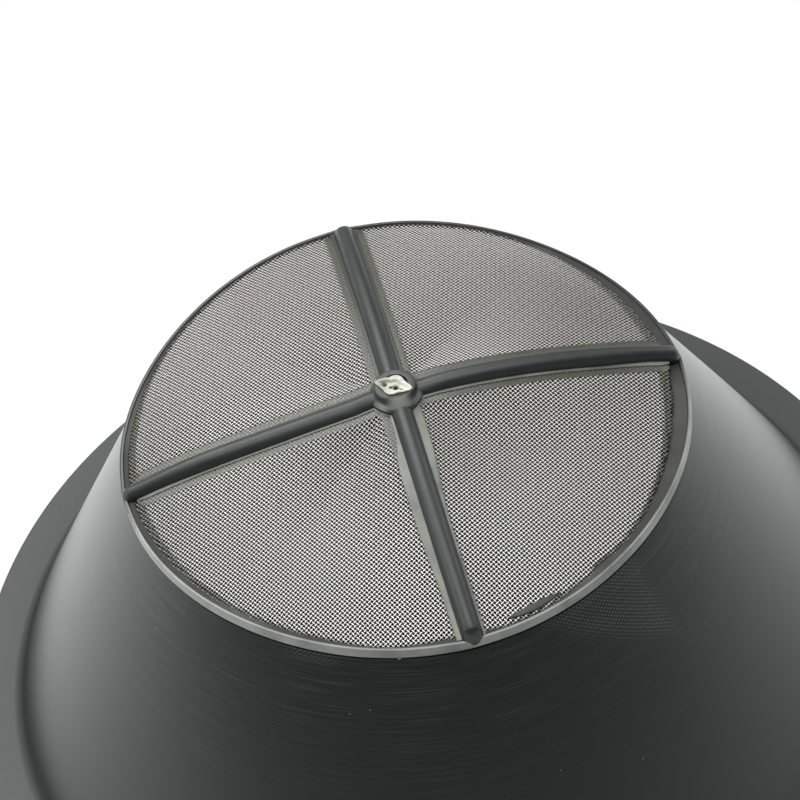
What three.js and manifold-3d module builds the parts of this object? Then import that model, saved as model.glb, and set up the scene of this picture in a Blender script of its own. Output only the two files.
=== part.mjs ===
// A paint strainer insert for a round bucket, standing on its flange with the mesh end up.
// The moulded body is one piece of plastic: flange, cone, collar, ribs, strips and hub.
// A domed disc of mesh is caught between the ribs and the strips, and in a groove round the collar.
// Millimetres, +Z up. The origin is the middle of the flange's rest face.

import * as THREE from "three";
import { mergeVertices } from "three/addons/utils/BufferGeometryUtils.js";
import Module from "manifold-3d";

// Flange and cone
const flangeRadius = 157.2; // outer edge of the rim that sits on the bucket
const flangeThickness = 3;
const flangeEdgeRound = 1.2;
const mouthRadius = 142.7; // the cone's outer face where it meets the flange
const footRound = 2; // fillet between the flange and the cone
const wall = 2.2; // thickness of the cone, measured square to it
const coneHeight = 108; // from the flange's upper face to the top of the lip

// Collar, border ring and the groove that holds the mesh
const lipRadius = 87.9;
const lipRound = 0.6;
const collarHeight = 3.3;
const collarStep = 0.7; // how far the collar stands out from the cone
const beadWidth = 1.1; // raised line round the top of the lip
const beadHeight = 0.3;
const borderWidth = 3; // flat ring between the lip's edge and the open mesh
const coverThickness = 0.8; // plastic over the mesh's edge
const ledgeThickness = 1.6; // plastic under the mesh's edge
const grooveDepth = 1.7;
const rimPull = 1; // the rim is drawn in this far midway between the ribs

// Mesh
const meshThickness = 0.8;
const selvageThickness = 0.9; // sealed band round the mesh's edge
const selvageInner = 2.9; // how far the sealed band reaches inside the border ring
const domeRise = 14.9; // of the mesh, from its edge to the hub
const panelSag = 6; // how strongly the mesh flattens between the ribs
const sagReach = 18; // distance from a strip over which it flattens
const gapWidth = 8.5;
const barWidth = 5.5;
const warpRidge = 0.5; // height of the ridge on bars that run along Y
const weftRidge = 0.35; // and on bars that run along X

// Ribs over the mesh, strips under it
const ribWidth = 6.3;
const ribHeight = 3.2; // above the underside of its foot
const ribOverhang = 0.4; // how far a rib's round end stands past the lip
const footWidth = 10; // flat strip that spreads from under each rib
const footThickness = 0.7;
const stripWidth = 10;
const stripThickness = 1.6;

// Hub
const hubFootRadius = 8.2;
const hubRadius = 7.1; // at the bottom of its drum
const hubTopRadius = 6.2;
const hubShoulder = 0.7; // rise of the sloped shoulder between the foot and the drum
const hubHeight = 4.3; // above the flat strips over the mesh
const hubUnderRadius = 8;
const hubUnderThickness = 2.6;
const coreRadius = 2.8; // plastic that runs through the middle of the mesh
const gateLength = 12;
const gateWidth = 7.2;
const gateHeight = 1.6; // torn stub left where the plastic was injected

const clearance = 0.3; // between the mesh and the plastic that holds it
const roundSegments = 96;
const halfSteps = 13; // steps along a rib or a strip, from the middle to the border ring

// Places worked out from the sizes
const lipTop = flangeThickness + coneHeight;
const borderTop = lipTop - beadHeight;
const windowRadius = lipRadius - borderWidth;
const grooveRadius = windowRadius + grooveDepth;
const grooveTop = borderTop - coverThickness;
const grooveHeight = selvageThickness + 2 * clearance;
const grooveBottom = grooveTop - grooveHeight;
const ledgeBottom = grooveBottom - ledgeThickness;
const seatHeight = grooveTop - grooveHeight / 2; // middle of the mesh at its edge
const collarBottom = lipTop - collarHeight;
const neckRadius = lipRadius - collarStep;
const coneSlope = (mouthRadius - neckRadius) / (collarBottom - flangeThickness);
const wallAcross = wall * Math.hypot(1, coneSlope);
const ribReach = lipRadius + ribOverhang;
const stripReach = lipRadius - 1;
const sheetRadius = windowRadius - selvageInner / 2;
const meshRadius = grooveRadius - clearance;
const footHeight = selvageThickness / 2 + clearance; // from the mesh's middle to a rib's underside

const wasm = await Module();
wasm.setup();

// A closed three.js geometry as a solid that can be joined and cut.
function solidOf(geometry) {
  const bare = geometry.clone();
  bare.deleteAttribute("normal");
  bare.deleteAttribute("uv");
  const merged = mergeVertices(bare, 1e-4);
  return new wasm.Manifold(new wasm.Mesh({
    numProp: 3,
    vertProperties: merged.attributes.position.array,
    triVerts: new Uint32Array(merged.index.array),
  }));
}

// And back again, for a mesh.
function geometryOf(solid) {
  const mesh = solid.getMesh();
  const positions = new Float32Array(mesh.numVert * 3);
  for (let i = 0; i < mesh.numVert; i++) {
    positions.set(mesh.vertProperties.subarray(i * mesh.numProp, i * mesh.numProp + 3), i * 3);
  }
  const geometry = new THREE.BufferGeometry();
  geometry.setAttribute("position", new THREE.BufferAttribute(positions, 3));
  geometry.setIndex(new THREE.BufferAttribute(new Uint32Array(mesh.triVerts), 1));
  return geometry;
}

// Moves every vertex of a geometry by a rule.
function reshape(geometry, rule) {
  const place = geometry.attributes.position;
  const point = new THREE.Vector3();
  for (let i = 0; i < place.count; i++) {
    point.fromBufferAttribute(place, i);
    rule(point);
    place.setXYZ(i, point.x, point.y, point.z);
  }
  return geometry;
}

// Turns a profile of [radius, height] points about the Z axis.
function turned(profile, segments = roundSegments) {
  const points = profile.map(([radius, height]) => new THREE.Vector2(radius, height));
  return new THREE.LatheGeometry(points, segments).rotateX(Math.PI / 2);
}

// Points of a round corner in a profile, from one angle in degrees to another.
function corner(radius, height, round, from, to, steps = 3) {
  const points = [];
  for (let i = 0; i <= steps; i++) {
    const angle = THREE.MathUtils.degToRad(from + (to - from) * i / steps);
    points.push([radius + round * Math.cos(angle), height + round * Math.sin(angle)]);
  }
  return points;
}

function coneRadiusAt(height) {
  return mouthRadius - coneSlope * (height - flangeThickness);
}

// Height of the mesh's middle surface at a distance from the axis, along a rib.
function domeHeight(radius) {
  return seatHeight + domeRise * (1 - (radius / windowRadius) ** 2);
}

// The same, level once it is over the border ring.
function ribLine(distance) {
  return Math.max(seatHeight, domeHeight(distance));
}

// Flange, cone, collar and border ring in one profile, with the groove for the mesh's edge.
function shell() {
  const flangeTurn = flangeRadius - flangeEdgeRound;
  const profile = [
    [coneRadiusAt(0) - wallAcross, 0],
    ...corner(flangeTurn, flangeEdgeRound, flangeEdgeRound, -90, 0),
    ...corner(flangeTurn, flangeThickness - flangeEdgeRound, flangeEdgeRound, 0, 90),
    [mouthRadius + footRound, flangeThickness],
    [mouthRadius + footRound * 0.25, flangeThickness + footRound * 0.4],
    [coneRadiusAt(flangeThickness + footRound), flangeThickness + footRound],
    [neckRadius, collarBottom],
    [lipRadius, collarBottom],
    ...corner(lipRadius - lipRound, lipTop - lipRound, lipRound, 0, 90),
    [lipRadius - beadWidth, lipTop],
    [lipRadius - beadWidth - beadHeight, borderTop],
    [windowRadius, borderTop],
    [windowRadius, grooveTop],
    [grooveRadius, grooveTop],
    [grooveRadius, grooveBottom],
    [windowRadius, grooveBottom],
    [windowRadius, ledgeBottom],
    [coneRadiusAt(ledgeBottom) - wallAcross, ledgeBottom],
  ];
  return solidOf(turned([...profile, profile[0]]));
}

// A half-round rib along X: a capsule pressed flat underneath and bent over the dome.
// Its straight part spans the open mesh and its round ends lie on the border ring.
function rib() {
  const round = ribWidth / 2;
  const bar = new THREE.CapsuleGeometry(round, 2 * windowRadius, 3, 16, 2 * halfSteps);
  bar.rotateZ(Math.PI / 2);
  const flatten = 0.02;
  return reshape(bar, (point) => {
    const past = Math.max(0, Math.abs(point.x) - windowRadius);
    const distance = Math.abs(point.x) - past + past * (ribReach - windowRadius) / round;
    const lift = point.z > 0 ? point.z * ribHeight / round : point.z * flatten;
    point.x = Math.sign(point.x) * distance;
    point.z = ribLine(distance) + footHeight + round * flatten + lift;
  });
}

// A flat strip along X that follows the dome at a height from the mesh's middle.
// It starts as a bar one unit long for each step, and its last step lies on the border ring.
function strip(width, thickness, rise) {
  const bar = new THREE.BoxGeometry(2 * halfSteps + 2, width, thickness, 2 * halfSteps + 2, 1, 1);
  return reshape(bar, (point) => {
    const step = Math.abs(point.x);
    const distance = step > halfSteps + 0.5 ? stripReach : windowRadius * step / halfSteps;
    point.x = Math.sign(point.x) * distance;
    point.z += ribLine(distance) + rise;
  });
}

// Everything along X, and the same turned to lie along Y.
function crossed(geometry) {
  return solidOf(geometry).add(solidOf(geometry.clone().rotateZ(Math.PI / 2)));
}

function cross() {
  const foot = strip(footWidth, footThickness, footHeight + footThickness / 2);
  const under = strip(stripWidth, stripThickness, -footHeight - stripThickness / 2);
  return crossed(rib()).add(crossed(foot)).add(crossed(under));
}

function hub() {
  const middle = domeHeight(0);
  const overTop = middle + footHeight + footThickness;
  const underTop = domeHeight(hubUnderRadius) - footHeight;
  const solid = solidOf(turned([
    [0, underTop - hubUnderThickness],
    [hubUnderRadius, underTop - hubUnderThickness],
    [hubUnderRadius, underTop],
    [coreRadius, underTop],
    [coreRadius, middle + footHeight],
    [hubFootRadius, middle + footHeight],
    [hubFootRadius, overTop],
    [hubRadius, overTop + hubShoulder],
    [hubTopRadius, overTop + hubHeight],
    [0, overTop + hubHeight],
  ], 40));
  const gate = new THREE.SphereGeometry(0.5, 16, 8).rotateX(Math.PI / 2);
  gate.scale(gateLength, gateWidth, 2 * gateHeight).translate(0, 0, overTop + hubHeight);
  return solid.add(solidOf(gate));
}

// The mesh sags a little below the dome between two ribs, as a net stretched over them does.
function sheetHeight(x, y) {
  const ease = (distance) => 1 - Math.exp(-Math.max(0, distance - footWidth / 2 - 1) / sagReach);
  const reach = Math.hypot(x, y) / windowRadius;
  const sag = panelSag * ease(Math.abs(x)) * ease(Math.abs(y)) * Math.max(0, 1 - reach ** 2);
  return domeHeight(Math.hypot(x, y)) - sag;
}

// Lines of the grid across the disc: a plain band by each rib, then a gap and a bar with its ridge.
function gridLines() {
  const half = [{ at: 0, ridge: false }, { at: footWidth / 2 + 1, ridge: false }];
  while (half.at(-1).at < sheetRadius) {
    const start = half.at(-1).at;
    half.push({ at: start + gapWidth, ridge: false, gapBefore: true });
    half.push({ at: start + gapWidth + barWidth / 2, ridge: true });
    half.push({ at: start + gapWidth + barWidth, ridge: false });
  }
  const other = half.slice(1).reverse().map((line, i, all) => ({
    at: -line.at,
    ridge: line.ridge,
    gapBefore: i > 0 && Boolean(all[i - 1].gapBefore),
  }));
  return [...other, ...half];
}

// The sheet as one wall with square gaps, ridged along the middle of its bars.
function openSheet() {
  const lines = gridLines();
  const last = lines.length - 1;
  const isGap = (i, j) => {
    if (i < 0 || j < 0 || i >= last || j >= last) return true;
    if (!lines[i + 1].gapBefore || !lines[j + 1].gapBefore) return false;
    const far = (line) => Math.max(Math.abs(lines[line].at), Math.abs(lines[line + 1].at));
    return Math.hypot(far(i), far(j)) < sheetRadius - clearance;
  };
  const positions = [];
  const corners = (i, j) => {
    const { at: x, ridge: warp } = lines[i];
    const { at: y, ridge: weft } = lines[j];
    const ridge = Math.max(warp ? warpRidge : 0, weft ? weftRidge : 0);
    const clear = Math.min(Math.abs(x), Math.abs(y)) > footWidth / 2 + 1;
    const middle = sheetHeight(x, y);
    const top = middle + meshThickness / 2 + (clear ? ridge : 0);
    return { top: [x, y, top], bottom: [x, y, middle - meshThickness / 2] };
  };
  const quad = (a, b, c, d) => positions.push(...a, ...b, ...c, ...a, ...c, ...d);
  for (let i = 0; i < last; i++) {
    for (let j = 0; j < last; j++) {
      if (isGap(i, j)) continue;
      const a = corners(i, j);
      const b = corners(i + 1, j);
      const c = corners(i + 1, j + 1);
      const d = corners(i, j + 1);
      quad(a.top, b.top, c.top, d.top);
      quad(d.bottom, c.bottom, b.bottom, a.bottom);
      if (isGap(i, j - 1)) quad(a.bottom, b.bottom, b.top, a.top);
      if (isGap(i + 1, j)) quad(b.bottom, c.bottom, c.top, b.top);
      if (isGap(i, j + 1)) quad(c.bottom, d.bottom, d.top, c.top);
      if (isGap(i - 1, j)) quad(d.bottom, a.bottom, a.top, d.top);
    }
  }
  const geometry = new THREE.BufferGeometry();
  geometry.setAttribute("position", new THREE.BufferAttribute(new Float32Array(positions), 3));
  return solidOf(geometry);
}

// Sealed band round the mesh, over the dome's edge and level inside the groove.
function selvage() {
  const half = selvageThickness / 2;
  const inner = windowRadius - selvageInner;
  return solidOf(turned([
    [inner, domeHeight(inner) - half],
    [windowRadius, seatHeight - half],
    [meshRadius, seatHeight - half],
    [meshRadius, seatHeight + half],
    [windowRadius, seatHeight + half],
    [inner, domeHeight(inner) + half],
    [inner, domeHeight(inner) - half],
  ]));
}

function meshDisc() {
  const height = 4 * domeRise;
  const cutter = new THREE.CylinderGeometry(sheetRadius, sheetRadius, height, roundSegments);
  cutter.rotateX(Math.PI / 2).translate(0, 0, seatHeight);
  const eye = new THREE.CylinderGeometry(coreRadius + clearance, coreRadius + clearance, height, 24);
  eye.rotateX(Math.PI / 2).translate(0, 0, seatHeight);
  return openSheet().intersect(solidOf(cutter)).add(selvage()).subtract(solidOf(eye));
}

// The tight mesh draws the rim in between the ribs, less and less towards the flange.
function drawIn(geometry) {
  return reshape(geometry, (point) => {
    const angle = Math.atan2(point.y, point.x);
    const share = Math.max(0, (point.z - flangeThickness) / coneHeight);
    const reach = Math.min(1, Math.hypot(point.x, point.y) / lipRadius);
    const pull = rimPull / lipRadius * Math.sin(2 * angle) ** 2 * Math.min(1, share) ** 3 * reach ** 2;
    point.x *= 1 - pull;
    point.y *= 1 - pull;
  });
}

function named(name, solid, material) {
  const mesh = new THREE.Mesh(drawIn(geometryOf(solid)), material);
  mesh.name = name;
  return mesh;
}

const blackPlastic = new THREE.MeshStandardMaterial({ color: 0x2b2c2c, roughness: 0.42, metalness: 0 });
const paleMesh = new THREE.MeshStandardMaterial({ color: 0xcfccc6, roughness: 0.6, metalness: 0 });

const strainer = new THREE.Group();
strainer.add(
  named("strainer_body", shell().add(cross()).add(hub()), blackPlastic),
  named("mesh_disc", meshDisc(), paleMesh),
);

export default strainer;
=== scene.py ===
# %% [markdown]
# # A paint strainer for a bucket
# The real object is one insert moulding. A disc of woven nylon net is laid in the tool, and black
# polypropylene is shot round it: a wide flange, a conical wall, a short collar, a cross of ribs over the
# net and a flat cross under it. It stands on its flange here, with the net end up.
# Sizes below are in millimetres and are turned into metres where a piece is made.

# %% Tools and the fixed frame
import math

import bpy
import numpy as np
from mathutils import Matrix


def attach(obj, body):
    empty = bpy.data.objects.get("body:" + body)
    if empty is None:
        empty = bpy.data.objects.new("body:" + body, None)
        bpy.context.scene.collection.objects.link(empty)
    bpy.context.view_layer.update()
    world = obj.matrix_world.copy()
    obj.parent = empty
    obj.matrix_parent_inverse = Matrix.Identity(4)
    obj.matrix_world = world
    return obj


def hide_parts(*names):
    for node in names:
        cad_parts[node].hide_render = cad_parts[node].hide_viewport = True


MM = 0.001
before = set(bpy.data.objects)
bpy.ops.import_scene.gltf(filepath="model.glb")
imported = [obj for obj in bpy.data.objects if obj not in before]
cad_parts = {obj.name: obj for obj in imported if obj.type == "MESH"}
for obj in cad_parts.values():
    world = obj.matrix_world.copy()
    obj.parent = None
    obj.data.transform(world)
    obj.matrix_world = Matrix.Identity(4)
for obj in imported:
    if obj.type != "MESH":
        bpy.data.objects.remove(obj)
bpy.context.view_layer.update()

# %% [markdown]
# ## The few sizes that drive everything
# They are the sizes of the solid part, so each visible piece lies where its solid does.

# %% Driving sizes
flange_radius = 157.2
flange_thickness = 3.0
mouth_radius = 142.7
lip_radius = 87.9
lip_height = 111.0
collar_height = 3.3
collar_step = 0.7
wall = 2.5
rib_width = 6.5
rib_height = 2.5
dome_rise = 14.3
print("stands", lip_height + dome_rise, "mm high at the net's middle")

# %% [markdown]
# ## Working by operator
# Operators act on whatever is selected, so each step starts from a known selection: nothing, then the
# piece in hand, then the corners that a rule about place picks out.

# %% Selection helpers
def only(piece):
    """Selects one piece and nothing else."""
    if bpy.context.object and bpy.context.object.mode != "OBJECT":
        bpy.ops.object.mode_set(mode="OBJECT")
    bpy.ops.object.select_all(action="DESELECT")
    piece.select_set(True)
    bpy.context.view_layer.objects.active = piece
    return piece


def places(piece):
    """The corners of a piece in millimetres, one row each."""
    flat = np.empty(len(piece.data.vertices) * 3, dtype=np.float32)
    piece.data.vertices.foreach_get("co", flat)
    return flat.reshape(-1, 3).astype(float) / MM


def put_places(piece, spots):
    """Writes back corners given in millimetres."""
    piece.data.vertices.foreach_set("co", (spots * MM).astype(np.float32).ravel())
    piece.data.update()


def pick(piece, chosen):
    """Opens a piece for editing with just these corners selected."""
    only(piece)
    bpy.ops.object.mode_set(mode="EDIT")
    bpy.ops.mesh.select_mode(type="VERT")
    bpy.ops.mesh.select_all(action="DESELECT")
    bpy.ops.object.mode_set(mode="OBJECT")
    piece.data.vertices.foreach_set("select", np.asarray(chosen, dtype=bool))
    bpy.ops.object.mode_set(mode="EDIT")


def pick_long_edges(piece, longer):
    """Opens a piece for editing with the edges selected that run further than this along X."""
    pick(piece, np.zeros(len(piece.data.vertices)))
    bpy.ops.mesh.select_mode(type="EDGE")
    bpy.ops.object.mode_set(mode="OBJECT")
    ends = np.empty(len(piece.data.edges) * 2, dtype=np.int32)
    piece.data.edges.foreach_get("vertices", ends)
    along = places(piece)[ends.reshape(-1, 2), 0]
    piece.data.edges.foreach_set("select", abs(along[:, 0] - along[:, 1]) > longer)
    bpy.ops.object.mode_set(mode="EDIT")


def tidy(piece, smooth_angle=35):
    """Merges doubled corners, turns the faces outwards and shades the piece."""
    only(piece)
    bpy.ops.object.mode_set(mode="EDIT")
    bpy.ops.mesh.select_all(action="SELECT")
    bpy.ops.mesh.remove_doubles(threshold=0.01 * MM)
    bpy.ops.mesh.normals_make_consistent(inside=False)
    bpy.ops.object.mode_set(mode="OBJECT")
    bpy.ops.object.shade_smooth_by_angle(angle=math.radians(smooth_angle))
    return piece


def settle(piece):
    """Puts a piece's origin back at the frame's origin, with its place in its mesh."""
    only(piece)
    bpy.ops.object.transform_apply(location=True, rotation=True, scale=True)
    return piece


def finish_with(piece, kind, **settings):
    """Adds a modifier and applies it."""
    only(piece)
    modifier = piece.modifiers.new(kind.title(), kind)
    for name, value in settings.items():
        setattr(modifier, name, value)
    bpy.ops.object.modifier_apply(modifier=modifier.name)
    return piece


def paint(piece, name, values):
    """Stores one number for each corner, which a material reads by name."""
    layer = piece.data.attributes.new(name, "FLOAT", "POINT")
    layer.data.foreach_set("value", np.asarray(values, dtype=np.float32))


def ramp(values, low, high):
    """0 below low, 1 above high, with a smooth rise between."""
    share = np.clip((values - low) / (high - low), 0, 1)
    return share ** 2 * (3 - 2 * share)


# %% Turning a profile on the lathe
def turn(name, profile, segments=192, closed=True):
    """A circle is added at the profile's first point, then extruded and resized through the rest."""
    radius, height = profile[0]
    bpy.ops.object.select_all(action="DESELECT")
    bpy.ops.mesh.primitive_circle_add(vertices=segments, radius=radius * MM, location=(0, 0, height * MM))
    piece = settle(bpy.context.object)
    piece.name = name
    bpy.ops.object.mode_set(mode="EDIT")
    bpy.ops.mesh.select_all(action="SELECT")
    if not closed:
        bpy.ops.mesh.edge_face_add()
    for next_radius, next_height in profile[1:]:
        lift = (0, 0, (next_height - height) * MM)
        bpy.ops.mesh.extrude_region_move(TRANSFORM_OT_translate={"value": lift})
        grow = next_radius / radius
        bpy.ops.transform.resize(value=(grow, grow, 1), center_override=(0, 0, 0))
        radius, height = next_radius, next_height
    bpy.ops.object.mode_set(mode="OBJECT")
    return tidy(piece)


# %% [markdown]
# ## Camera
# The photograph looks down on the strainer at about 48 degrees through a long lens, and the picture
# leans a little to the left. The numbers come from matching the lip, the flange and the cone's sides.

# %% Camera
def add_camera():
    bpy.ops.object.select_all(action="DESELECT")
    bpy.ops.object.camera_add(location=(-0.0514, -0.6084, 0.7989))
    camera = bpy.context.object
    camera.name = "camera"
    camera.rotation_euler = [math.radians(a) for a in (41.60, 7.03, -12.75)]
    camera.data.sensor_width = 36
    camera.data.lens = 135
    camera.data.clip_end = 20
    bpy.context.scene.camera = camera
    return camera


camera = add_camera()
print("camera", tuple(camera.location))

# %% [markdown]
# ## The dome and the lip
# The net is drawn tight over the cross, so along the ribs it follows their curve, and between them it
# lies lower, like a tent between its poles. One rule gives the height of the net's middle anywhere.
# The lip isn't quite round either: the tight net draws it in between the ribs, and it leans a little
# towards the back. A second rule, a few waves round the lip, moves the funnel and the net alike.

# %% Heights over the dome, and the lip's true outline
net_reach = 85.3
net_seat = -0.8
film_half = 6.4
left_arm_drop = 2.3
right_arm_lift = 1.0
right_end_lift = 1.0
front_arm_lean = 0.9


def arm_shift(x, y):
    """The left rib lies a little lower than the dome. The right rib lies higher, most of all at its end."""
    distance = abs(x)
    share = np.clip(distance / lip_radius, 0, 1)
    left = -left_arm_drop * np.exp(-((distance - 38) / 32) ** 2)
    right = right_arm_lift * 4 * share * (1 - share)
    end = right_end_lift * ramp(distance, 58, 84) * np.exp(-(y / 12) ** 4)
    outside_hub = ramp(distance, 6, 14)
    return np.where(x > 0, right, left) * outside_hub * np.exp(-(y / 22) ** 2) + np.where(x > 0, end, 0)


def front_lean(distance):
    """The front rib leans to the right: its middle line's place beside the frame's own."""
    share = np.clip(distance / lip_radius, 0, 1.1)
    return front_arm_lean * (share + share ** 3)


def net_line(distance):
    """Height of the net's middle along a rib, above the lip."""
    share = np.clip(distance / net_reach, 0, 1)
    return net_seat + (dome_rise - net_seat) * (1 - share ** 2)


def net_height(x, y):
    """Height of the net's middle anywhere, above the lip."""
    distance = np.hypot(x, y)
    beside = np.clip(np.minimum(abs(x), abs(y)) - film_half, 0, None) / lip_radius
    sag = 38 * beside * np.clip(1 - distance / net_reach, 0, 1) ** 2
    return net_line(distance) - sag + arm_shift(x, y)


def lip_shift(angle):
    """How far the lip stands out from a true circle, as measured round it."""
    pulled = -0.6 + 0.9 * np.cos(4 * angle)
    leaning = 0.2 * np.cos(angle) + 1.15 * np.sin(angle)
    uneven = -0.9 * np.sin(2 * angle) - 0.55 * np.sin(3 * angle)
    return pulled + leaning + uneven


def shape_lip(piece):
    """Moves a piece with the lip: fully at the lip, less down the cone and towards the middle."""
    spots = places(piece)
    angle = np.arctan2(spots[:, 1], spots[:, 0])
    share = np.clip((spots[:, 2] - flange_thickness) / (lip_height - flange_thickness), 0, 1)
    reach = np.clip(np.hypot(spots[:, 0], spots[:, 1]) / lip_radius, 0, 1)
    spots[:, :2] *= (1 + lip_shift(angle) / lip_radius * share ** 3 * reach ** 3)[:, None]
    put_places(piece, spots)
    return piece


# %% [markdown]
# ## Flange, cone and collar
# On the real part this is one moulded wall, so it is turned as one profile: under the flange, round its
# edge, up the cone, out to the collar, over the lip with its raised line, and back down the inside.
# The ring round the net is uneven on the real part, because the hot plastic crept over the net further
# in some places than in others. So the ring's inner edge is moved in and out by a rule after turning.

# %% Funnel
window_radius = 84.5


def round_corner(radius, height, size, start, stop, steps=5):
    """Points of a rounded edge in a profile, between two angles in degrees."""
    turns = [math.radians(start + (stop - start) * i / steps) for i in range(steps + 1)]
    return [(radius + size * math.cos(a), height + size * math.sin(a)) for a in turns]


def cone_radius(height):
    slope = (mouth_radius - lip_radius + collar_step) / (lip_height - collar_height - flange_thickness)
    return mouth_radius - slope * (height - flange_thickness)


def bump(degrees, middle, half_width, power=2):
    """1 at a place round the lip, falling to 0 on both sides of it."""
    return np.exp(-(abs(degrees - middle) / half_width) ** power)


def border_width(angle):
    """Width of the ring round the net: wide at the front and right, narrow at the back."""
    degrees = np.degrees(angle)
    front = 0.5 - 0.5 * np.sin(angle)
    width = 1.3 + 1.65 * front + 2.6 * bump(degrees, -22, 24)
    width += 2.0 * bump(degrees, 25, 22) + 1.4 * bump(degrees, -2, 30)
    width += 1.2 * bump(degrees, -58, 2.4) - 1.2 * bump(degrees, -77, 9, 4)
    width += 0.8 * bump(abs(degrees), 160, 28) - 1.3 * bump(degrees, -106, 9)
    return np.maximum(width, 1.5)


def funnel_profile():
    edge = 1.2
    lip_round = 0.6
    foot = 2.2
    neck = lip_radius - collar_step
    collar_bottom = lip_height - collar_height
    cone_bottom = flange_thickness + foot
    cone_top = collar_bottom - 1.0
    profile = [(cone_radius(0) - wall, 0)]
    profile += round_corner(flange_radius - edge, edge, edge, -90, 0)
    profile += round_corner(flange_radius - edge, flange_thickness - edge, edge, 0, 90)
    profile += [(mouth_radius + foot, flange_thickness)]
    profile += [(mouth_radius + foot * 0.3, flange_thickness + foot * 0.25)]
    rows = 26
    for step in range(rows + 1):
        height = cone_bottom + (cone_top - cone_bottom) * step / rows
        profile += [(cone_radius(height), height)]
    profile += [(neck - 0.4, collar_bottom - 0.7)]
    profile += [(neck - 0.4, collar_bottom - 0.1)]
    profile += [(lip_radius - 0.2, collar_bottom)]
    profile += [(lip_radius, collar_bottom + 0.2)]
    profile += round_corner(lip_radius - lip_round, lip_height - lip_round, lip_round, 0, 90)
    profile += [(lip_radius - 1.1, lip_height)]
    profile += [(lip_radius - 1.3, lip_height - 0.45)]
    profile += [(window_radius, lip_height - 0.45)]
    profile += [(window_radius - 0.2, lip_height - 0.7)]
    profile += [(window_radius - 0.2, lip_height - 1.6)]
    profile += [(window_radius - 0.3, lip_height - 1.9)]
    profile += [(window_radius - 0.3, lip_height - 4.2)]
    profile += [(cone_radius(lip_height - 4.4) - wall, lip_height - 4.4)]
    profile += [profile[0]]
    return profile


def imprint_places(degrees, height):
    """The net's knuckles printed two patches of dots into the cone while it was soft."""
    low_edge = 107 - 1.09 * (degrees + 78)
    large = ramp(height, low_edge, low_edge + 5) * ramp(degrees, -80, -76) * ramp(-degrees, 50, 53)
    small = ramp(degrees, -127, -125) * ramp(-degrees, 115, 118) * ramp(height, 103, 106)
    return large + 0.7 * small


def make_funnel():
    piece = turn("funnel", funnel_profile(), segments=288)
    spots = places(piece)
    radius = np.hypot(spots[:, 0], spots[:, 1])
    angle = np.arctan2(spots[:, 1], spots[:, 0])
    height = spots[:, 2]
    on_collar = (radius > lip_radius - 0.9) & (height > lip_height - collar_height - 0.05)
    on_cone = (radius > cone_radius(height) - 0.1) & (height < lip_height - collar_height)
    # Painted highlight: the collar's near side is painted pale, fading towards the sides
    paint(piece, "wear_and_highlight", on_collar * ramp(-np.sin(angle), -0.05, 0.25))
    paint(piece, "imprint", on_cone * imprint_places(np.degrees(angle), height))
    paint(piece, "ring", (radius < lip_radius - 1.25) & (height > lip_height - 1.7))
    ring_edge = (radius < window_radius + 0.1) & (height > lip_height - 1.7)
    moved = radius + np.where(ring_edge, lip_radius - border_width(angle) - window_radius, 0)
    beside_rib = np.minimum(abs(spots[:, 0]), abs(spots[:, 1]))
    high = ramp(height, lip_height - 4, lip_height - 2) * (radius > lip_radius - 1.2)
    moved += 0.4 * np.exp(-(beside_rib / 4) ** 2) * high
    spots[:, :2] *= (moved / radius)[:, None]
    put_places(piece, spots)
    return shape_lip(piece)


funnel = make_funnel()
print("funnel", len(funnel.data.vertices), "corners")


# %% Nub under the lip
def make_nub():
    """A tiny nub of plastic hangs under the lip at the front left."""
    angle = math.radians(-103.6)
    radius = lip_radius + lip_shift(angle) - 0.2
    bpy.ops.object.select_all(action="DESELECT")
    bpy.ops.mesh.primitive_ico_sphere_add(
        subdivisions=3,
        radius=0.75 * MM,
        location=(radius * math.cos(angle) * MM, radius * math.sin(angle) * MM, (lip_height - 3.3) * MM),
    )
    piece = settle(bpy.context.object)
    piece.name = "lip_nub"
    paint(piece, "wear_and_highlight", np.ones(len(piece.data.vertices)))
    return tidy(piece, 80)


nub = make_nub()
print("nub", nub.name)

# %% [markdown]
# ## Ribs over the net
# A rib is a low bar with a rounded top and rounded ends. A sphere makes it: its two halves are moved
# apart, the long sides are divided, the underside is pressed flat, and the bar is laid over the dome.

# %% Ribs
def crossed(make):
    """Makes one bar across and one along, each from the same rule. The second is turned a quarter."""
    pair = [make("across"), make("along")]
    only(pair[1])
    bpy.ops.transform.rotate(value=-math.pi / 2, orient_axis="Z", center_override=(0, 0, 0))
    settle(pair[1])
    return pair


def lay_over_dome(piece, rise, way):
    """Bends a bar that runs along X so that it follows the net's line."""
    spots = places(piece)
    line = net_line(abs(spots[:, 0]))
    if way == "across":
        line = line + arm_shift(spots[:, 0], 0 * spots[:, 1])
    else:
        spots[:, 1] -= np.where(spots[:, 0] < 0, front_lean(-spots[:, 0]), 0)
    spots[:, 2] += lip_height + line + rise
    put_places(piece, spots)
    return piece


def rib_section(share):
    """Height of a rib at a share of its half width: a flat top, then two round shoulders."""
    flat = 0.34
    return 1 - np.clip((share - flat) / (1 - flat), 0, 1) ** 1.9


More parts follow.
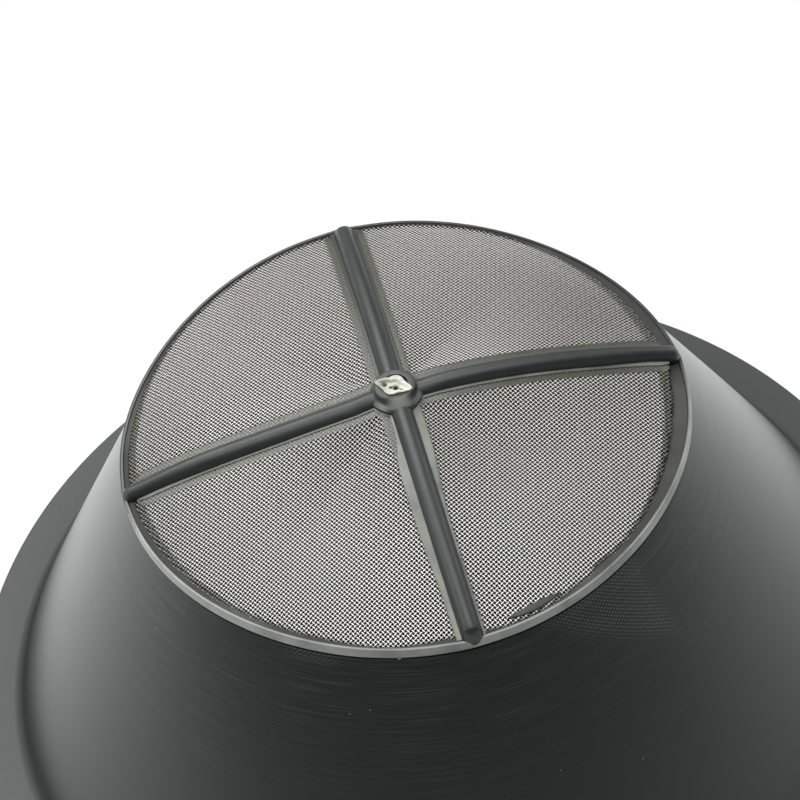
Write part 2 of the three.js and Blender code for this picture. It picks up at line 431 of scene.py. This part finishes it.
def rib(way):
    half = rib_width / 2
    blunt = 0.7
    reach = lip_radius + 0.4 - half * blunt
    bpy.ops.object.select_all(action="DESELECT")
    bpy.ops.mesh.primitive_uv_sphere_add(
        segments=48, ring_count=24, radius=half * MM, rotation=(0, math.pi / 2, 0)
    )
    piece = settle(bpy.context.object)
    piece.name = "rib_" + way
    bpy.ops.object.select_all(action="DESELECT")
    only(piece)
    bpy.ops.transform.resize(value=(blunt, 1, 1), center_override=(0, 0, 0))
    settle(piece)
    spots = places(piece)
    above = np.clip(spots[:, 2] / half, 0, 1)
    top = spots[:, 2] > 0.01
    for side in (-1, 1):
        short = 1.2 if (way, side) == ("along", -1) else 0
        pick(piece, spots[:, 0] * side > 0.05)
        bpy.ops.transform.translate(value=(side * (reach - short) * MM, 0, 0))
    spots = places(piece)
    section = rib_section(np.sqrt(1 - above ** 2))
    spots[:, 2] = np.where(top, rib_height * section, 0.3 * spots[:, 2])
    put_places(piece, spots)
    pick_long_edges(piece, reach / 2)
    bpy.ops.mesh.subdivide(number_cuts=47)
    bpy.ops.object.mode_set(mode="OBJECT")
    spots = places(piece)
    distance = abs(spots[:, 0])
    crown = dome_rise * (1 - (np.minimum(distance, lip_radius) / lip_radius) ** 2)
    sunk = 1.1 * np.exp(-(distance / 13) ** 2)
    if way == "across":
        slim = ramp(distance, 60, 84)
        spots[:, 1] *= 1 - 0.18 * slim
        sunk += 0.65 * ramp(-spots[:, 0], 8, 20) + 1.0 * slim
    spots[:, 2] += np.clip(spots[:, 2] / rib_height, 0, 1) * (crown - net_line(distance) - sunk)
    put_places(piece, spots)
    tidy(piece, 60)
    return lay_over_dome(piece, 0.5, way)


ribs = crossed(rib)
print("ribs", [len(r.data.vertices) for r in ribs])

# %% [markdown]
# ## Strips, film and ledges
# Round each rib the hot plastic ran through the net. Under the net it made a flat strip, in the net a
# film that leaves only the tops of the threads free, and over the net a thin smooth ledge. Each is a
# bar that is divided along its length, has its edges bevelled and is laid over the dome.

# %% Strips, film and ledges
def bar(name, width, thickness, reach):
    bpy.ops.object.select_all(action="DESELECT")
    bpy.ops.mesh.primitive_cube_add(size=1, scale=(2 * reach * MM, width * MM, thickness * MM))
    piece = settle(bpy.context.object)
    piece.name = name
    finish_with(piece, "BEVEL", width=0.12 * MM, segments=2)
    pick_long_edges(piece, reach)
    bpy.ops.mesh.subdivide(number_cuts=63)
    bpy.ops.object.mode_set(mode="OBJECT")
    return piece


def ledge_halves(way, x):
    """Half widths of the ledge on its two sides. It is wide beside the front rib and narrow elsewhere."""
    if way == "across":
        return np.where(x > 0, 5.2, 4.4), np.where(x > 0, 4.1, 3.85)
    left = 3.9 + 2.0 * ramp(-x, 14, 30) - 1.1 * ramp(-x, 45, 80)
    right = 5.8 - 1.9 * ramp(-x, 18, 50)
    return np.where(x < 0, left, 4.3), np.where(x < 0, right, 4.3)


def film_halves(way, x):
    """Half widths of the film. Beside the front rib it hardly shows, except near the hub."""
    left, right = ledge_halves(way, x)
    if way == "across":
        return np.full_like(x, 7.2), np.full_like(x, 6.4)
    left = np.where(x < 0, np.maximum(left + 0.2, 6.6 - 1.5 * ramp(-x, 14, 30)), 6.3)
    return left, np.where(x < 0, right + 0.2, 6.3)


def strip_halves(way, x):
    return np.full_like(x, 5.6), np.full_like(x, 5.6)


def beside_rib(kind, way, thickness, reach, halves):
    """A flat bar along a rib, with its own half width on each side. The ring is wide at the left and the
    right, so the bar across stops at it, and its ends are narrowed."""
    piece = bar(kind + "_" + way, 2.0, thickness, reach)
    spots = places(piece)
    plus, minus = halves(way, spots[:, 0])
    spots[:, 1] *= np.where(spots[:, 1] > 0, plus, minus)
    if way == "across":
        spots[:, 1] *= 1 - 0.2 * ramp(abs(spots[:, 0]), reach - 2.5, reach)
        spots[:, 0] *= 0.97
    put_places(piece, spots)
    return piece


def strip(way):
    piece = beside_rib("strip", way, 1.6, 86.0, strip_halves)
    return tidy(lay_over_dome(piece, -1.5, way), 40)


def film(way):
    """The film lies between the threads, so its top is a little below theirs."""
    piece = beside_rib("film", way, 1.0, 86.0, film_halves)
    return tidy(lay_over_dome(piece, -0.3, way), 40)


def ledge(way):
    piece = beside_rib("ledge", way, 0.5, 86.5, ledge_halves)
    spots = places(piece)
    # Painted highlight: the near side of the ledges across and the ledge beside the front rib are painted pale
    if way == "across":
        wear_and_highlight = np.where(spots[:, 1] < 0, 1.0, 0.25)
    else:
        wear_and_highlight = 0.12 + 0.88 * ramp(-spots[:, 0], 3, 8)
    paint(piece, "wear_and_highlight", wear_and_highlight)
    return tidy(lay_over_dome(piece, 0.4, way), 40)


def flash():
    """A lens of flash lies over the net at the front right, a little inside the ring."""
    half_length = 9.0
    piece = bar("flash", 2.0, 0.35, half_length)
    spots = places(piece)
    half_width = 0.15 + 0.95 * (1 - (spots[:, 0] / half_length) ** 2)
    middle = 84.0
    radius = middle + half_width * spots[:, 1]
    angle = math.radians(-75) + spots[:, 0] / middle
    spots[:, 2] += lip_height + net_line(radius) + 0.4
    spots[:, 0] = radius * np.cos(angle)
    spots[:, 1] = radius * np.sin(angle)
    put_places(piece, spots)
    return tidy(piece, 40)


strips = crossed(strip)
films = crossed(film)
ledges = crossed(ledge)
tongue = flash()
for piece in strips + films + ledges + [tongue]:
    shape_lip(piece)
print("bars", [p.name for p in strips + films + ledges])

# %% [markdown]
# ## Hub and gate stub
# Where the ribs cross there is a round boss: a low disc, a sloping shoulder and a drum with a flared
# foot. It is turned from a short profile. On top is the torn stub where the plastic was let into the
# tool: a thin-walled crater with a thick back wall. It is turned too, then pulled into an oval.

# %% Hub
hub_base = lip_height + dome_rise


def make_hub():
    """At the front the drum spreads into a skirt over the rib, so two profiles are blended.
    In its top is a round well, which the stub nearly covers."""
    round_about = [(8.5, -3.2), (8.8, -3.0), (8.8, 0.2), (8.6, 0.4), (8.2, 0.45), (8.2, 1.3), (8.05, 1.45),
                   (7.2, 2.15), (7.0, 2.3), (6.65, 2.8), (6.45, 3.6), (6.3, 4.6), (6.05, 4.85), (5.6, 4.95),
                   (4.1, 4.9), (3.8, 2.4), (0.3, 2.4)]
    at_front = [(8.5, -3.2), (8.8, -3.0), (8.8, 0.2), (8.75, 0.4), (8.7, 0.5), (8.7, 1.3), (8.6, 1.6),
                (8.5, 2.1), (8.3, 2.5), (7.7, 2.9), (6.7, 3.6), (5.6, 4.3), (4.9, 4.65), (4.5, 4.8),
                (4.1, 4.85), (3.8, 2.4), (0.3, 2.4)]
    piece = turn("hub", [(radius, hub_base + rise) for radius, rise in round_about], 96, closed=False)
    spots = places(piece)
    radius = np.hypot(spots[:, 0], spots[:, 1])
    rise = spots[:, 2] - hub_base
    angle = np.arctan2(spots[:, 1], spots[:, 0])
    first, second = np.array(round_about), np.array(at_front)
    row = np.argmin((radius[:, None] - first[:, 0]) ** 2 + (rise[:, None] - first[:, 1]) ** 2, axis=1)
    front = ramp(-np.sin(angle), 0.72, 1.0)
    spots[:, :2] *= (1 + front * (second[row, 0] / first[row, 0] - 1))[:, None]
    spots[:, 2] += front * (second[row, 1] - first[row, 1])
    put_places(piece, spots)

    # Painted highlight: the edge of the ledge, the skirt and the shoulder between the ribs are painted pale
    degrees = np.degrees(angle)
    between_ribs = 0.9 * bump(degrees, -135, 16) + 0.45 * bump(degrees, -45, 18) + 0.45 * bump(degrees, 40, 18)
    pale_share = np.where((row >= 2) & (row <= 3), 1.0, 0.1)
    pale_share += between_ribs * ((row >= 6) & (row <= 8))
    pale_share += 0.75 * front * ((row >= 8) & (row <= 11))
    paint(piece, "wear_and_highlight", pale_share)
    return piece


hub = make_hub()
print("hub", len(hub.data.vertices), "corners")


# %% Gate stub
def make_stub():
    half_length = 6.2
    half_width = 3.9
    top = hub_base + 4.85
    profile = [(0.86, top - 2.2), (0.9, top), (0.97, top + 0.2), (1.0, top + 0.55), (0.96, top + 0.75),
               (0.88, top + 0.7), (0.78, top + 0.45), (0.66, top + 0.2), (0.5, top + 0.15),
               (0.34, top + 0.15), (0.2, top + 0.15), (0.06, top + 0.15)]
    piece = turn("gate_stub", profile, segments=96, closed=False)
    spots = places(piece)
    radius = np.hypot(spots[:, 0], spots[:, 1])
    angle = np.arctan2(spots[:, 1], spots[:, 0])
    back = np.clip(np.sin(angle), 0, 1)
    lens = 1 - 0.24 * np.abs(np.sin(2 * angle)) ** 1.2
    rim = np.exp(-((radius - 0.97) / 0.12) ** 2) * (spots[:, 2] > top + 0.3)
    torn = 0.16 * np.sin(5 * angle + 1.0) + 0.1 * np.sin(11 * angle + 0.4)
    spots[:, 2] += rim * (torn + 0.25 * back)
    wall_in = np.where((radius < 0.93) & (radius > 0.6), 1 - 0.35 * back, 1)
    spots[:, 0] *= half_length * lens * wall_in
    spots[:, 1] *= half_width * lens * wall_in
    for pit_x, pit_y, size in ((-3.0, -0.1, 0.6), (0.7, -0.3, 0.65), (-0.7, -0.6, 0.35), (2.4, -0.5, 0.3)):
        away = np.hypot(spots[:, 0] - pit_x, spots[:, 1] - pit_y)
        inside = np.hypot(spots[:, 0] / half_length, spots[:, 1] / half_width) < 0.75
        spots[:, 2] -= 1.7 * np.exp(-(away / size) ** 2) * inside
    put_places(piece, spots)
    # The stub is painted pale where it tore, and left dark down in its pits
    pits = np.clip((top + 0.05 - spots[:, 2]) / 0.6, 0, 1) * (radius < 0.8)
    paint(piece, "wear_and_highlight", 1 - pits)
    only(piece)
    bpy.ops.transform.rotate(value=math.radians(32), orient_axis="Z", center_override=(0, 0, 0))
    bpy.ops.transform.translate(value=(-0.4 * MM, -0.7 * MM, 0))
    return settle(piece)


stub = make_stub()
print("stub", len(stub.data.vertices), "corners")

# %% [markdown]
# ## Net
# Two layers of plain weave lie over each other, turned a little against each other, which gives the
# close look of beats and small dark holes. One thread is a four-sided bar, divided so that it has a
# ring at each crossing. Every second ring is moved down, so the thread goes over and under.

# %% Net
thread_pitch = 1.06
thread_thickness = 0.40
top_turn = 31.4
under_turn = -41.0
layer_gap = 0.70
caught = 0.6


def thread_pair():
    """Two threads, two crossings long: one is up where the other is down."""
    half = thread_thickness / 2
    pair = []
    for row in (0, 1):
        bpy.ops.object.select_all(action="DESELECT")
        bpy.ops.mesh.primitive_cylinder_add(
            vertices=4,
            radius=half * MM,
            depth=2 * thread_pitch * MM,
            end_fill_type="NOTHING",
            location=(0, row * thread_pitch * MM, 0),
            rotation=(0, math.pi / 2, 0),
        )
        piece = settle(bpy.context.object)
        pick_long_edges(piece, thread_pitch)
        bpy.ops.mesh.subdivide(number_cuts=1)
        bpy.ops.object.mode_set(mode="OBJECT")
        spots = places(piece)
        middle = abs(spots[:, 0]) < 0.1
        side = 1 if row == 0 else -1
        spots[:, 2] += np.where(middle, -side, side) * half
        put_places(piece, spots)
        pair.append(piece)
    only(pair[0])
    pair[1].select_set(True)
    bpy.ops.object.join()
    return pair[0]


def flat_layer():
    """A flat square of plain weave, wider than the window."""
    count = math.ceil(2 * (window_radius + 2) / (2 * thread_pitch)) + 1
    warp = thread_pair()
    finish_with(warp, "ARRAY", count=count, use_relative_offset=False, use_constant_offset=True,
                constant_offset_displace=(2 * thread_pitch * MM, 0, 0), use_merge_vertices=True,
                merge_threshold=0.01 * MM)
    finish_with(warp, "ARRAY", count=count, use_relative_offset=False, use_constant_offset=True,
                constant_offset_displace=(0, 2 * thread_pitch * MM, 0))
    only(warp)
    middle = (count - 1) * thread_pitch * MM
    bpy.ops.transform.translate(value=(-middle, -middle, 0))
    settle(warp)
    bpy.ops.object.duplicate()
    weft = bpy.context.object
    bpy.ops.transform.rotate(value=math.pi / 2, orient_axis="Z", center_override=(0, 0, 0))
    bpy.ops.transform.translate(value=(0, thread_pitch * MM, 0))
    settle(weft)
    only(warp)
    weft.select_set(True)
    bpy.ops.object.join()
    paint(warp, "knuckle", places(warp)[:, 2] / thread_thickness)
    return warp


def soaked_by_ring(spots):
    """Plastic also filled the net along the ring, further in near the left and right ribs."""
    angle = np.arctan2(spots[:, 1], spots[:, 0])
    ring_edge = lip_radius - border_width(angle)
    reach_in = 1.0 + 2.2 * np.cos(angle) ** 8
    return ramp(np.hypot(spots[:, 0], spots[:, 1]), ring_edge - reach_in, ring_edge - reach_in + 0.7)


def uneven_tone(spots):
    """How much darker the threads are painted: most at the back, towards the right rib's end and round the hub.
    """
    distance = np.hypot(spots[:, 0], spots[:, 1])
    degrees = np.degrees(np.arctan2(spots[:, 1], spots[:, 0]))
    right = 0.55 * bump(degrees, 16, 34) * ramp(distance, 15, 75)
    back = 0.3 * bump(degrees, 90, 60)
    hub_side = 0.45 * np.exp(-(distance / 34) ** 2) * ramp(-degrees, -20, 20)
    left = 0.4 * bump(abs(degrees), 180, 26) * ramp(distance, 50, 85)
    lighter_front = 0.3 * bump(degrees, -95, 42) * ramp(distance, 25, 60)
    return np.clip(0.35 + right + back + hub_side + left - lighter_front, 0, 1)


def net_panel(name, layer, side_x, side_y):
    """A quarter of the net: the layer is turned both ways, trimmed, and laid over the dome."""
    parts = []
    for level, turned in ((0, top_turn), (1, under_turn)):
        only(layer)
        bpy.ops.object.duplicate()
        piece = bpy.context.object
        bpy.ops.transform.rotate(value=-math.radians(turned), orient_axis="Z", center_override=(0, 0, 0))
        settle(piece)
        spots = places(piece)
        keep = (spots[:, 0] * side_x > -0.6) & (spots[:, 1] * side_y > -0.6)
        angle = np.arctan2(spots[:, 1], spots[:, 0])
        keep &= np.hypot(spots[:, 0], spots[:, 1]) < lip_radius - border_width(angle) + caught
        pick(piece, ~keep)
        bpy.ops.mesh.delete(type="VERT")
        bpy.ops.mesh.select_all(action="SELECT")
        bpy.ops.mesh.delete_loose()
        bpy.ops.mesh.select_all(action="SELECT")
        bpy.ops.mesh.fill_holes(sides=0)
        bpy.ops.mesh.normals_make_consistent(inside=False)
        bpy.ops.object.mode_set(mode="OBJECT")
        spots = places(piece)
        across = abs(spots[:, 1]) - np.where(spots[:, 1] > 0, 7.2, 6.4)
        left, right = film_halves("along", spots[:, 1])
        sideways = spots[:, 0] - np.where(spots[:, 1] < 0, front_lean(-spots[:, 1]), 0)
        along = abs(sideways) - np.where(sideways < 0, left, right)
        beside_ribs = 1 - ramp(np.minimum(across, along), -0.3, 0.5)
        paint(piece, "soaked", np.maximum(beside_ribs, soaked_by_ring(spots)))
        paint(piece, "depth", np.full(len(spots), float(level)))
        paint(piece, "darker_zone", uneven_tone(spots))
        spots[:, 2] += lip_height + net_height(spots[:, 0], spots[:, 1]) - level * layer_gap
        put_places(piece, spots)
        parts.append(shape_lip(piece))
    only(parts[0])
    parts[1].select_set(True)
    bpy.ops.object.join()
    parts[0].name = name
    bpy.ops.object.shade_smooth()
    return parts[0]


layer = flat_layer()
print("layer", len(layer.data.polygons), "faces")
panels = [
    net_panel("net_right_back", layer, 1, 1),
    net_panel("net_left_back", layer, -1, 1),
    net_panel("net_left_front", layer, -1, -1),
    net_panel("net_right_front", layer, 1, -1),
]
bpy.data.objects.remove(layer)
print("net", [len(p.data.polygons) for p in panels])

# %% [markdown]
# ## Materials
# Colours are written as they look on screen and turned to linear light by one function.

# %% Material helpers
def colour(code):
    """A hex colour as linear light."""
    parts = [int(code[i:i + 2], 16) / 255 for i in (1, 3, 5)]
    linear = [p / 12.92 if p <= 0.04045 else ((p + 0.055) / 1.055) ** 2.4 for p in parts]
    return (*linear, 1)


def node(tree, kind, links=None, **settings):
    """Adds a node with its settings, and links each named input to an output or a value."""
    new = tree.nodes.new(kind)
    for name, value in settings.items():
        setattr(new, name, value)
    for name, source in (links or {}).items():
        if isinstance(source, bpy.types.NodeSocket):
            tree.links.new(source, new.inputs[name])
        else:
            new.inputs[name].default_value = source
    return new


def new_material(name):
    material = bpy.data.materials.new(name)
    material.use_nodes = True
    return material, material.node_tree, material.node_tree.nodes["Principled BSDF"]


def dress(piece, material):
    piece.data.materials.clear()
    piece.data.materials.append(material)


def sums(tree, operation, *values, clamp=False):
    """One step of arithmetic between outputs and numbers."""
    step = node(tree, "ShaderNodeMath", dict(enumerate(values)), operation=operation, use_clamp=clamp)
    return step.outputs[0]


def blend(tree, share, first, second):
    """Mixes two colours."""
    mixed = node(tree, "ShaderNodeMix", {0: share, 6: first, 7: second}, data_type="RGBA")
    return mixed.outputs[2]


def between(tree, value, low, high):
    """0 at low, 1 at high."""
    return node(tree, "ShaderNodeMapRange", {"Value": value, "From Min": low, "From Max": high}).outputs[0]


def attribute(tree, name):
    return node(tree, "ShaderNodeAttribute", attribute_name=name).outputs["Fac"]


def noise(tree, place, scale, detail=3.0):
    return node(tree, "ShaderNodeTexNoise", {"Vector": place, "Scale": scale, "Detail": detail}).outputs["Fac"]


def wear_and_highlight_colour(tree, place, dark, pale_tone):
    """Pale patches in clouds about a centimetre wide with finer flecks: pale torn plastic, and painted highlight.
    """
    cloud = noise(tree, place, 90.0, 5.0)
    pale_share = sums(tree, "MULTIPLY", attribute(tree, "wear_and_highlight"), cloud)
    return blend(tree, sums(tree, "MULTIPLY", pale_share, 1.7, clamp=True), dark, colour(pale_tone))


def plastic(name, dark, pale_tone, rough):
    """Moulded polypropylene with a soft unevenness in its gloss."""
    material, tree, shader = new_material(name)
    place = node(tree, "ShaderNodeTexCoord").outputs["Object"]
    mottled = blend(tree, noise(tree, place, 260.0), colour(dark[0]), colour(dark[1]))
    # Pale patches: the stub and the nub are pale, and on the other pieces they are painted highlight
    tree.links.new(wear_and_highlight_colour(tree, place, mottled, pale_tone), shader.inputs["Base Color"])
    uneven = sums(tree, "MULTIPLY_ADD", noise(tree, place, 400.0), 0.16, rough - 0.08)
    tree.links.new(uneven, shader.inputs["Roughness"])
    shader.inputs["Specular IOR Level"].default_value = 0.4
    return material


def funnel_plastic():
    """The same plastic on the funnel: half gloss on the cone, fine grain on the flange.
    Fine hairlines run round the cone near the lip, and dots of the net are printed into it."""
    material, tree, shader = new_material("moulded_polypropylene_funnel")
    place = node(tree, "ShaderNodeTexCoord").outputs["Object"]
    part = node(tree, "ShaderNodeSeparateXYZ", {0: place}).outputs
    on_cone = between(tree, part["Z"], 0.0033, 0.006)
    near_lip = between(tree, part["Z"], 0.045, 0.105)

    # Millimetres round the cone near the lip, and up its slope
    around = sums(tree, "MULTIPLY", sums(tree, "ARCTAN2", part["Y"], part["X"]), 94.0)
    up = sums(tree, "MULTIPLY", part["Z"], 1130.0)

    # Hairlines 0.3 mm apart and some 30 mm long
    along_line = sums(tree, "MULTIPLY", around, 0.033)
    across_line = sums(tree, "MULTIPLY", up, 3.2)
    stretched = node(tree, "ShaderNodeCombineXYZ", {"X": along_line, "Y": across_line}).outputs[0]
    lines = between(tree, noise(tree, stretched, 1.0, 4.0), 0.5, 0.72)
    lines = sums(tree, "MULTIPLY", sums(tree, "MULTIPLY", lines, near_lip), 0.09)

    # Dots 1.7 mm apart in rows 0.7 mm apart, each row moved by half a step
    wave_round = sums(tree, "COSINE", sums(tree, "MULTIPLY", around, 2 * math.pi / 1.7))
    wave_up = sums(tree, "COSINE", sums(tree, "MULTIPLY", up, 2 * math.pi / 1.36))
    dots = between(tree, sums(tree, "MULTIPLY", wave_round, wave_up), 0.3, 0.8)
    dots = sums(tree, "MULTIPLY", sums(tree, "MULTIPLY", dots, attribute(tree, "imprint")), 0.22)

    # Specks of dust, a few tenths of a millimetre wide, on one cell in six
    cells = node(tree, "ShaderNodeTexVoronoi", {"Vector": place, "Scale": 160.0}).outputs
    chosen = sums(tree, "GREATER_THAN", node(tree, "ShaderNodeSeparateXYZ", {0: cells["Color"]}).outputs[0], 0.84)
    specks = sums(tree, "MULTIPLY", sums(tree, "LESS_THAN", cells["Distance"], 0.045), chosen)
    specks = sums(tree, "MULTIPLY", specks, 0.25)

    marks = sums(tree, "ADD", sums(tree, "ADD", lines, dots), specks, clamp=True)
    ring = attribute(tree, "ring")
    plain = blend(tree, on_cone, colour("#303231"), colour("#101211"))
    plain = blend(tree, ring, plain, colour("#1c1d16"))
    marked = blend(tree, marks, plain, colour("#9a9c98"))
    # The collar's painted highlight is mixed into the colour here
    tree.links.new(wear_and_highlight_colour(tree, place, marked, "#7e807a"), shader.inputs["Base Color"])

    # Grain 0.4 mm wide on the flange. The flange and the ring are duller than the cone
    grain = noise(tree, place, 2500.0, 2.0)
    rough = sums(tree, "MULTIPLY_ADD", on_cone, -0.2, 0.5)
    rough = sums(tree, "MULTIPLY_ADD", ring, 0.35, rough)
    tree.links.new(sums(tree, "MULTIPLY_ADD", grain, 0.08, rough), shader.inputs["Roughness"])
    relief = sums(tree, "MULTIPLY", grain, sums(tree, "MULTIPLY_ADD", on_cone, -0.8, 1.0))
    relief = node(tree, "ShaderNodeBump", {"Height": relief, "Strength": 0.35, "Distance": 0.0001})
    tree.links.new(relief.outputs[0], shader.inputs["Normal"])
    shader.inputs["Specular IOR Level"].default_value = 0.4
    return material


black_plastic = plastic("moulded_polypropylene", ("#1c1e1d", "#282a28"), "#6d6f67", 0.46)
film_plastic = plastic("polypropylene_film", ("#2e2f27", "#414238"), "#8f9088", 0.42)
stub_plastic = plastic("torn_polypropylene", ("#11110f", "#1b1b18"), "#b4b5a8", 0.5)


def nylon():
    """Off-white nylon thread, with painted shade: its crowns are painted bright, and it is painted darker down in
    the weave and on the lower layer. Where plastic filled the net, only the crowns show through it, dull and
    olive, with the same painted shade."""
    material, tree, shader = new_material("nylon_monofilament")
    knuckle = attribute(tree, "knuckle")
    # Painted shade: the lower layer and the low parts of each thread are painted dark
    height = sums(tree, "MULTIPLY_ADD", attribute(tree, "depth"), -1.0, knuckle)
    share = between(tree, height, 0.18, 0.52)
    crown = blend(tree, attribute(tree, "darker_zone"), colour("#fffbf6"), colour("#b8b4b0"))
    bare_with_painted_shade = blend(tree, share, colour("#050504"), crown)
    filled = blend(tree, share, colour("#171813"), colour("#7e7f74"))
    tree.links.new(blend(tree, attribute(tree, "soaked"), bare_with_painted_shade, filled), shader.inputs["Base Color"])
    shader.inputs["Roughness"].default_value = 0.3
    return material


net_nylon = nylon()

moulding = [funnel, nub, hub, stub, tongue] + ribs + strips + films + ledges
for piece in [nub, hub, tongue] + ribs + strips + ledges:
    dress(piece, black_plastic)
dress(funnel, funnel_plastic())
dress(stub, stub_plastic)
for piece in films:
    dress(piece, film_plastic)
for piece in moulding:
    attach(piece, "root")
    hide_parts("strainer_body")

# %% [markdown]
# The net is two layers, each cut as a disc about 174 mm wide before it was moulded in. Each panel here
# is a quarter of both layers, held stretched by the ring and the ribs.

# %% The net's cloth
for piece in panels:
    dress(piece, net_nylon)
    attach(piece, "root")
    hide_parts("mesh_disc")
print("cloth", [p.name for p in panels])

# %% [markdown]
# ## Stage, lamps and finish
# The floor is plain paper. It looks white to the camera and in the plastic's gloss. The paper under the
# funnel is painted dark as painted shade, and only the net's holes show it. Two soft lamps, one behind
# and one above, draw the long soft lights on the cone.

# %% Stage
def stage():
    bpy.ops.object.select_all(action="DESELECT")
    bpy.ops.mesh.primitive_plane_add(size=8, location=(0, 0, -0.0005))
    floor = settle(bpy.context.object)
    floor.name = "floor"
    material, tree, shader = new_material("white_paper")
    shader.inputs["Base Color"].default_value = colour("#f4f4f4")
    shader.inputs["Roughness"].default_value = 0.9
    path = node(tree, "ShaderNodeLightPath")
    white = node(tree, "ShaderNodeEmission", {"Color": (1, 1, 1, 1), "Strength": 1.0})
    seen = path.outputs["Is Camera Ray"]
    mix = node(tree, "ShaderNodeMixShader", {0: seen, 1: shader.outputs[0], 2: white.outputs[0]})
    output = tree.nodes["Material Output"]
    tree.links.new(mix.outputs[0], output.inputs["Surface"])
    dress(floor, material)
    bpy.ops.object.select_all(action="DESELECT")
    bpy.ops.mesh.primitive_circle_add(vertices=96, radius=0.146, fill_type="NGON", location=(0, 0, -0.0002))
    under = settle(bpy.context.object)
    under.name = "floor_under_funnel"
    material, tree, shader = new_material("paper_painted_shade")
    # Painted shade: the paper under the funnel is given a dark colour
    shader.inputs["Base Color"].default_value = colour("#1c1c1c")
    shader.inputs["Roughness"].default_value = 0.9
    dress(under, material)


stage()
world = bpy.data.worlds.new("studio")
bpy.context.scene.world = world
world.use_nodes = True
tree = world.node_tree
background = tree.nodes["Background"]
path = node(tree, "ShaderNodeLightPath")
white = node(tree, "ShaderNodeBackground", {"Color": (1, 1, 1, 1), "Strength": 1.0})
background.inputs["Color"].default_value = (0.9, 0.95, 1, 1)
background.inputs["Strength"].default_value = 0.22
seen = path.outputs["Is Camera Ray"]
mix = node(tree, "ShaderNodeMixShader", {0: seen, 1: background.outputs[0], 2: white.outputs[0]})
tree.links.new(mix.outputs[0], tree.nodes["World Output"].inputs["Surface"])


def softbox(name, place, size, power, target=(0, 0, 0.09)):
    """A rectangular lamp that faces a target."""
    bpy.ops.object.select_all(action="DESELECT")
    bpy.ops.object.light_add(type="AREA", location=place)
    lamp = bpy.context.object
    lamp.name = name
    lamp.data.shape = "RECTANGLE"
    lamp.data.size, lamp.data.size_y = size
    lamp.data.energy = power
    away = np.array(place) - np.array(target)
    level = math.hypot(away[0], away[1])
    lamp.rotation_euler = (math.atan2(level, away[2]), 0, math.atan2(away[1], away[0]) + math.pi / 2)
    return lamp


softbox("back_panel", (-0.3, 0.8, 1.1), (1.0, 0.7), 19)
softbox("overhead", (0.0, -0.1, 1.4), (0.8, 0.6), 13)
softbox("left_panel", (-0.9, 0.15, 0.55), (0.6, 0.6), 4.6, target=(-0.38, 0.08, 0))
softbox("right_panel", (0.9, 0.4, 0.55), (0.6, 0.6), 4.4, target=(0.38, 0.18, 0))
bpy.context.scene.view_settings.view_transform = "Standard"
